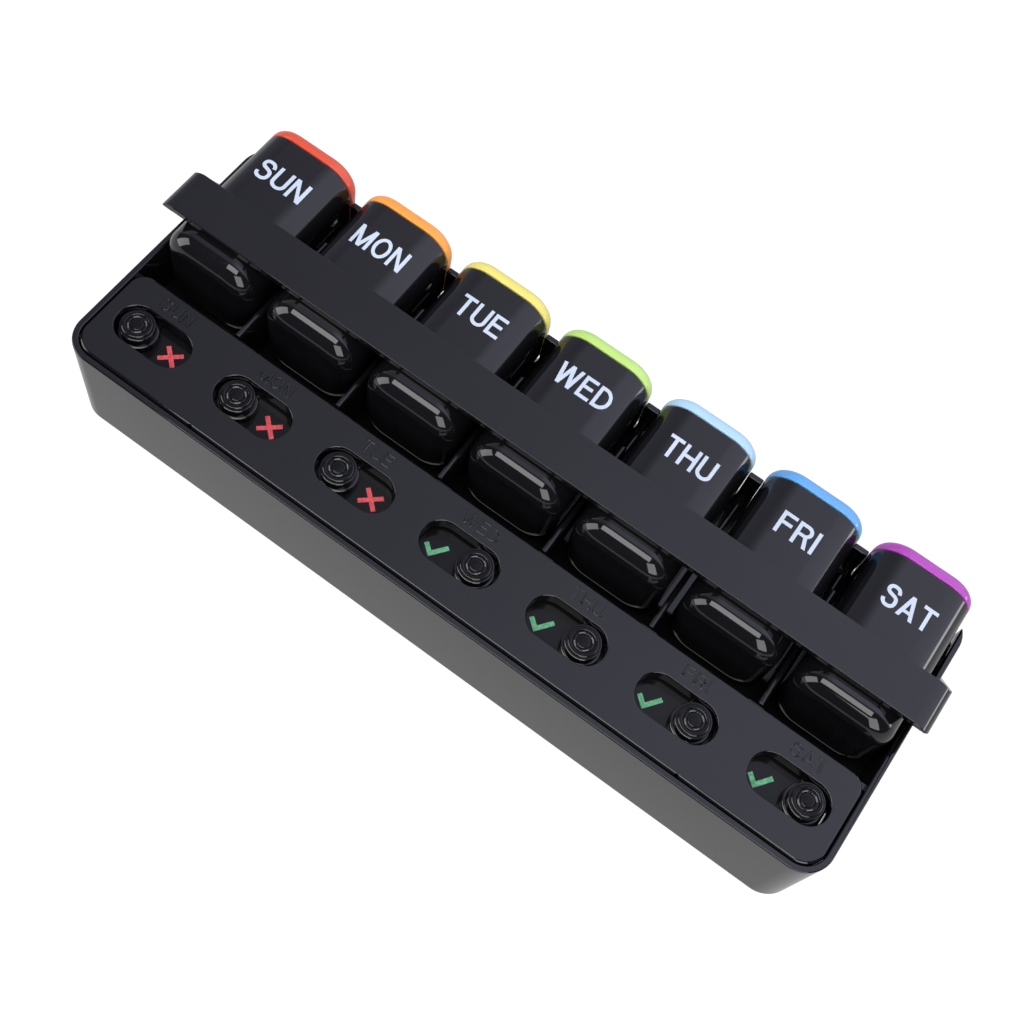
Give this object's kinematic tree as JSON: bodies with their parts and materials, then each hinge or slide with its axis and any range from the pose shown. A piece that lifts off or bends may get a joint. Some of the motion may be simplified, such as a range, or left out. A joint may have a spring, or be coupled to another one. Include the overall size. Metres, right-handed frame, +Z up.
{
  "type": "weekly pill organizer",
  "caption": "Table-top medicine tray with draw-out day pods under a swing-over lock bar, coloured hinged end lids and slide markers that show whether each day's dose was taken.",
  "frame": {"origin": "middle of the footprint, on the surface that the feet stand on", "axes": "+X along the row of days towards Saturday, +Y from the marker panel towards the lids, +Z up"},
  "size_m": [0.2304, 0.0832, 0.0457],
  "materials": {
    "gloss_black": "polished moulded plastic",
    "satin_black": "satin moulded plastic",
    "steel": "plain",
    "grey_rubber": "soft matte",
    "lid_sun": "polished moulded plastic",
    "lid_mon": "polished moulded plastic",
    "lid_tue": "polished moulded plastic",
    "lid_wed": "polished moulded plastic",
    "lid_thu": "polished moulded plastic",
    "lid_fri": "polished moulded plastic",
    "lid_sat": "polished moulded plastic"
  },
  "bodies": {
    "tray": {"base_tray": "gloss_black", "base_plate": "gloss_black", "front_panel": "gloss_black", "slot_plate": "satin_black", "pivot_pin_left": "steel", "pivot_pin_right": "steel", "screw_1": "steel", "screw_2": "steel", "screw_3": "steel", "screw_4": "steel", "rubber_foot_1": "grey_rubber", "rubber_foot_2": "grey_rubber", "rubber_foot_3": "grey_rubber", "rubber_foot_4": "grey_rubber"},
    "bar": {"lock_bar": "gloss_black"},
    "button_sun": {"slide_button_sun": "gloss_black"},
    "button_mon": {"slide_button_mon": "gloss_black"},
    "button_tue": {"slide_button_tue": "gloss_black"},
    "button_wed": {"slide_button_wed": "gloss_black"},
    "button_thu": {"slide_button_thu": "gloss_black"},
    "button_fri": {"slide_button_fri": "gloss_black"},
    "button_sat": {"slide_button_sat": "gloss_black"},
    "pod_sun": {"pod_sun": "gloss_black", "lid_pin_sun": "steel"},
    "lid_sun": {"lid_sun": "lid_sun"},
    "pod_mon": {"pod_mon": "gloss_black", "lid_pin_mon": "steel"},
    "lid_mon": {"lid_mon": "lid_mon"},
    "pod_tue": {"pod_tue": "gloss_black", "lid_pin_tue": "steel"},
    "lid_tue": {"lid_tue": "lid_tue"},
    "pod_wed": {"pod_wed": "gloss_black", "lid_pin_wed": "steel"},
    "lid_wed": {"lid_wed": "lid_wed"},
    "pod_thu": {"pod_thu": "gloss_black", "lid_pin_thu": "steel"},
    "lid_thu": {"lid_thu": "lid_thu"},
    "pod_fri": {"pod_fri": "gloss_black", "lid_pin_fri": "steel"},
    "lid_fri": {"lid_fri": "lid_fri"},
    "pod_sat": {"pod_sat": "gloss_black", "lid_pin_sat": "steel"},
    "lid_sat": {"lid_sat": "lid_sat"}
  },
  "joints": [
    {"name": "bar_hinge", "type": "hinge", "parent": "tray", "child": "bar", "pos_m": [0, 0.0274, 0.0115], "axis": [-1, 0, 0], "range_deg": [0, 120]},
    {"name": "button_slide_sun", "type": "slide", "parent": "tray", "child": "button_sun", "axis": [1, 0, 0], "range_m": [-0.0004, 0.0104]},
    {"name": "button_slide_mon", "type": "slide", "parent": "tray", "child": "button_mon", "axis": [1, 0, 0], "range_m": [-0.0004, 0.0104]},
    {"name": "button_slide_tue", "type": "slide", "parent": "tray", "child": "button_tue", "axis": [1, 0, 0], "range_m": [-0.0004, 0.0104]},
    {"name": "button_slide_wed", "type": "slide", "parent": "tray", "child": "button_wed", "axis": [1, 0, 0], "range_m": [-0.0104, 0.0004]},
    {"name": "button_slide_thu", "type": "slide", "parent": "tray", "child": "button_thu", "axis": [1, 0, 0], "range_m": [-0.0104, 0.0004]},
    {"name": "button_slide_fri", "type": "slide", "parent": "tray", "child": "button_fri", "axis": [1, 0, 0], "range_m": [-0.0104, 0.0004]},
    {"name": "button_slide_sat", "type": "slide", "parent": "tray", "child": "button_sat", "axis": [1, 0, 0], "range_m": [-0.0104, 0.0004]},
    {"name": "pod_slide_sun", "type": "slide", "parent": "tray", "child": "pod_sun", "axis": [0, -1, 0], "range_m": [-0.04, 0]},
    {"name": "lid_hinge_sun", "type": "hinge", "parent": "pod_sun", "child": "lid_sun", "pos_m": [-0.096, 0.0397, 0.0165], "axis": [1, 0, 0], "range_deg": [-90, 0]},
    {"name": "pod_slide_mon", "type": "slide", "parent": "tray", "child": "pod_mon", "axis": [0, -1, 0], "range_m": [-0.04, 0]},
    {"name": "lid_hinge_mon", "type": "hinge", "parent": "pod_mon", "child": "lid_mon", "pos_m": [-0.064, 0.0397, 0.0165], "axis": [1, 0, 0], "range_deg": [-90, 0]},
    {"name": "pod_slide_tue", "type": "slide", "parent": "tray", "child": "pod_tue", "axis": [0, -1, 0], "range_m": [-0.04, 0]},
    {"name": "lid_hinge_tue", "type": "hinge", "parent": "pod_tue", "child": "lid_tue", "pos_m": [-0.032, 0.0397, 0.0165], "axis": [1, 0, 0], "range_deg": [-90, 0]},
    {"name": "pod_slide_wed", "type": "slide", "parent": "tray", "child": "pod_wed", "axis": [0, -1, 0], "range_m": [-0.04, 0]},
    {"name": "lid_hinge_wed", "type": "hinge", "parent": "pod_wed", "child": "lid_wed", "pos_m": [0, 0.0397, 0.0165], "axis": [1, 0, 0], "range_deg": [-90, 0]},
    {"name": "pod_slide_thu", "type": "slide", "parent": "tray", "child": "pod_thu", "axis": [0, -1, 0], "range_m": [-0.04, 0]},
    {"name": "lid_hinge_thu", "type": "hinge", "parent": "pod_thu", "child": "lid_thu", "pos_m": [0.032, 0.0397, 0.0165], "axis": [1, 0, 0], "range_deg": [-90, 0]},
    {"name": "pod_slide_fri", "type": "slide", "parent": "tray", "child": "pod_fri", "axis": [0, -1, 0], "range_m": [-0.04, 0]},
    {"name": "lid_hinge_fri", "type": "hinge", "parent": "pod_fri", "child": "lid_fri", "pos_m": [0.064, 0.0397, 0.0165], "axis": [1, 0, 0], "range_deg": [-90, 0]},
    {"name": "pod_slide_sat", "type": "slide", "parent": "tray", "child": "pod_sat", "axis": [0, -1, 0], "range_m": [-0.04, 0]},
    {"name": "lid_hinge_sat", "type": "hinge", "parent": "pod_sat", "child": "lid_sat", "pos_m": [0.096, 0.0397, 0.0165], "axis": [1, 0, 0], "range_deg": [-90, 0]}
  ]
}
